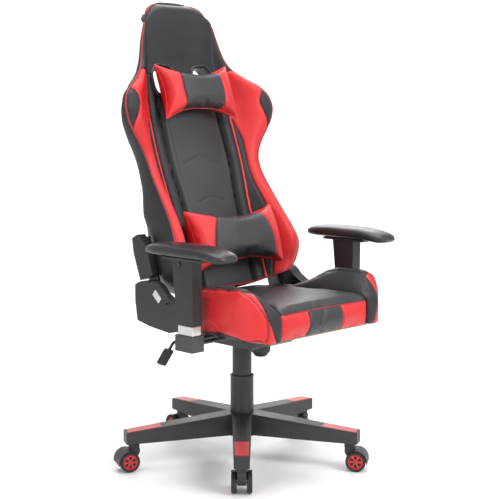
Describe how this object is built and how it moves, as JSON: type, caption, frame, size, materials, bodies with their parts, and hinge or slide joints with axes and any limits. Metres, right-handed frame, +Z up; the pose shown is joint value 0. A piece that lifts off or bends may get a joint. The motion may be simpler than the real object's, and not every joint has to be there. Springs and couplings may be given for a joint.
{
  "type": "gaming chair",
  "caption": "Racing-style swivel gaming chair with winged reclining back, bucket seat, adjustable armrests, head and lumbar pillows, on a five-star base with twin-wheel casters.",
  "frame": {"origin": "on the floor, on the axis of the gas lift", "axes": "+Z up; the chair faces -Y; the sitter's left is +X"},
  "size_m": [0.698, 0.6841, 1.2587],
  "materials": {
    "nylon_black": "fine moulded texture, satin",
    "red_trim": "gloss moulded",
    "tyre_black": "matt",
    "steel": "machined",
    "black_steel": "black powder coat, satin",
    "silver_steel": "silver paint, satin",
    "cover_black": "moulded, satin",
    "leather_black": "soft-grained synthetic leather, satin sheen",
    "leather_red": "soft-grained synthetic leather, satin sheen",
    "soft_pad": "skinned foam, matt",
    "plywood": "raw ply"
  },
  "bodies": {
    "base": {"star_base": "nylon_black", "leg_inserts": "red_trim", "caster_stems": "steel", "stand_tube": "black_steel", "guide_bush": "cover_black", "thrust_bearing_and_clip": "steel", "dust_cover_lower": "cover_black"},
    "caster_1": {"caster_hood_1": "nylon_black"},
    "wheels_1": {"caster_wheels_1": "tyre_black"},
    "caster_2": {"caster_hood_2": "nylon_black"},
    "wheels_2": {"caster_wheels_2": "tyre_black"},
    "caster_3": {"caster_hood_3": "nylon_black"},
    "wheels_3": {"caster_wheels_3": "tyre_black"},
    "caster_4": {"caster_hood_4": "nylon_black"},
    "wheels_4": {"caster_wheels_4": "tyre_black"},
    "caster_5": {"caster_hood_5": "nylon_black"},
    "wheels_5": {"caster_wheels_5": "tyre_black"},
    "gas_rod": {"piston_rod": "steel"},
    "column": {"pressure_cylinder": "steel", "dust_cover_upper": "cover_black", "mechanism_housing": "black_steel", "tilt_pivot_pin": "steel", "tilt_spring": "steel"},
    "dust_middle": {"dust_cover_middle": "cover_black"},
    "knob": {"tension_knob": "cover_black"},
    "lock_slider": {"lever_bush": "cover_black"},
    "lever": {"release_lever": "black_steel", "lever_grip": "cover_black"},
    "seat": {"seat_plate": "black_steel", "seat_pan": "plywood", "seat_bolts": "steel", "seat_cushion": "leather_black", "seat_bolster_left": "leather_red", "seat_bolster_right": "leather_red", "recliner_lower_brackets": "black_steel", "hinge_pins": "steel", "side_covers": "cover_black", "arm_brackets": "black_steel", "arm_posts": "silver_steel"},
    "recline_handle": {"recline_lever": "cover_black", "recline_lever_cap": "silver_steel"},
    "back": {"back_cushion": "leather_black", "back_bolster_left": "leather_red", "back_bolster_right": "leather_red", "back_panel": "leather_black", "back_frame": "black_steel", "recliner_upper_brackets": "black_steel", "back_bolts": "steel", "bracket_covers": "cover_black", "strap_trims": "cover_black"},
    "neck": {"neck_pillow": "leather_red"},
    "lumbar": {"lumbar_pillow": "leather_red"},
    "arm_left": {"arm_sleeve_left": "cover_black"},
    "button_left": {"arm_button_left": "cover_black"},
    "pad_left": {"arm_pad_plate_left": "cover_black", "arm_pad_left": "soft_pad"},
    "arm_right": {"arm_sleeve_right": "cover_black"},
    "button_right": {"arm_button_right": "cover_black"},
    "pad_right": {"arm_pad_plate_right": "cover_black", "arm_pad_right": "soft_pad"}
  },
  "joints": [
    {"name": "caster_1_swivel", "type": "hinge", "parent": "base", "child": "caster_1", "pos_m": [-0.21638, -0.21638, 0.06], "axis": [0, 0, 1], "continuous": true},
    {"name": "caster_1_roll", "type": "hinge", "parent": "caster_1", "child": "wheels_1", "pos_m": [-0.20365, -0.20365, 0.0275], "axis": [-0.7071, 0.7071, 0], "continuous": true},
    {"name": "caster_2_swivel", "type": "hinge", "parent": "base", "child": "caster_2", "pos_m": [0.13892, -0.27265, 0.06], "axis": [0, 0, 1], "continuous": true},
    {"name": "caster_2_roll", "type": "hinge", "parent": "caster_2", "child": "wheels_2", "pos_m": [0.14888, -0.28764, 0.0275], "axis": [0.8329, 0.5534, 0], "continuous": true},
    {"name": "caster_3_swivel", "type": "hinge", "parent": "base", "child": "caster_3", "pos_m": [0.30223, 0.04787, 0.06], "axis": [0, 0, 1], "continuous": true},
    {"name": "caster_3_roll", "type": "hinge", "parent": "caster_3", "child": "wheels_3", "pos_m": [0.28445, 0.04505, 0.0275], "axis": [0.1564, -0.9877, 0], "continuous": true},
    {"name": "caster_4_swivel", "type": "hinge", "parent": "base", "child": "caster_4", "pos_m": [0.04787, 0.30223, 0.06], "axis": [0, 0, 1], "continuous": true},
    {"name": "caster_4_roll", "type": "hinge", "parent": "caster_4", "child": "wheels_4", "pos_m": [0.05069, 0.32001, 0.0275], "axis": [-0.9877, 0.1564, 0], "continuous": true},
    {"name": "caster_5_swivel", "type": "hinge", "parent": "base", "child": "caster_5", "pos_m": [-0.27265, 0.13892, 0.06], "axis": [0, 0, 1], "continuous": true},
    {"name": "caster_5_roll", "type": "hinge", "parent": "caster_5", "child": "wheels_5", "pos_m": [-0.28934, 0.14566, 0.0275], "axis": [-0.3746, -0.9272, 0], "continuous": true},
    {"name": "seat_swivel", "type": "hinge", "parent": "base", "child": "gas_rod", "pos_m": [0, 0, 0.1], "axis": [0, 0, 1], "continuous": true},
    {"name": "seat_height", "type": "slide", "parent": "gas_rod", "child": "column", "axis": [0, 0, 1], "range_m": [0, 0.08]},
    {"name": "dust_cover_lift", "type": "slide", "parent": "base", "child": "dust_middle", "axis": [0, 0, 1], "range_m": [0, 0.0752]},
    {"name": "tension_knob_turn", "type": "hinge", "parent": "column", "child": "knob", "pos_m": [0, -0.072, 0.32], "axis": [0, 0, 1], "range_deg": [-360, 360]},
    {"name": "tilt_lock", "type": "slide", "parent": "column", "child": "lock_slider", "axis": [-1, 0, 0], "range_m": [0, 0.01]},
    {"name": "height_lever", "type": "hinge", "parent": "lock_slider", "child": "lever", "pos_m": [-0.073, -0.02, 0.372], "axis": [0, 1, 0], "range_deg": [0, 3], "stiffness_Nm_per_rad": 2, "springref_deg": -11.46},
    {"name": "seat_tilt", "type": "hinge", "parent": "column", "child": "seat", "pos_m": [0, -0.045, 0.372], "axis": [-1, 0, 0], "range_deg": [0, 12], "stiffness_Nm_per_rad": 60, "springref_deg": -22.92},
    {"name": "recline", "type": "hinge", "parent": "seat", "child": "back", "pos_m": [0, 0.085, 0.45], "axis": [-1, 0, 0], "range_deg": [-12, 50]},
    {"name": "recline_handle_lift", "type": "hinge", "parent": "seat", "child": "recline_handle", "pos_m": [-0.272, 0.042, 0.512], "axis": [-1, 0, 0], "range_deg": [0, 20], "stiffness_Nm_per_rad": 1, "springref_deg": -17.19},
    {"name": "arm_left_height", "type": "slide", "parent": "seat", "child": "arm_left", "axis": [0, 0, 1], "range_m": [0, 0.07]},
    {"name": "arm_left_button_press", "type": "slide", "parent": "arm_left", "child": "button_left", "axis": [-1, 0, 0], "range_m": [0, 0.003], "stiffness_N_per_m": 400},
    {"name": "arm_left_swivel", "type": "hinge", "parent": "arm_left", "child": "pad_left", "pos_m": [0.305, -0.122, 0.6], "axis": [0, 0, 1], "range_deg": [-15, 10]},
    {"name": "arm_right_height", "type": "slide", "parent": "seat", "child": "arm_right", "axis": [0, 0, 1], "range_m": [0, 0.07]},
    {"name": "arm_right_button_press", "type": "slide", "parent": "arm_right", "child": "button_right", "axis": [1, 0, 0], "range_m": [0, 0.003], "stiffness_N_per_m": 400},
    {"name": "arm_right_swivel", "type": "hinge", "parent": "arm_right", "child": "pad_right", "pos_m": [-0.305, -0.122, 0.6], "axis": [0, 0, 1], "range_deg": [-10, 15]},
    {"name": "neck_pillow_slide", "type": "slide", "parent": "back", "child": "neck", "axis": [0, 0.3256, 0.9455], "range_m": [-0.03, 0.03]},
    {"name": "lumbar_pillow_slide", "type": "slide", "parent": "back", "child": "lumbar", "axis": [0, 0.3256, 0.9455], "range_m": [-0.01, 0.08]}
  ],
  "couplings": [
    {"joint": "dust_cover_lift", "follows": "seat_height", "ratio": 0.94}
  ]
}
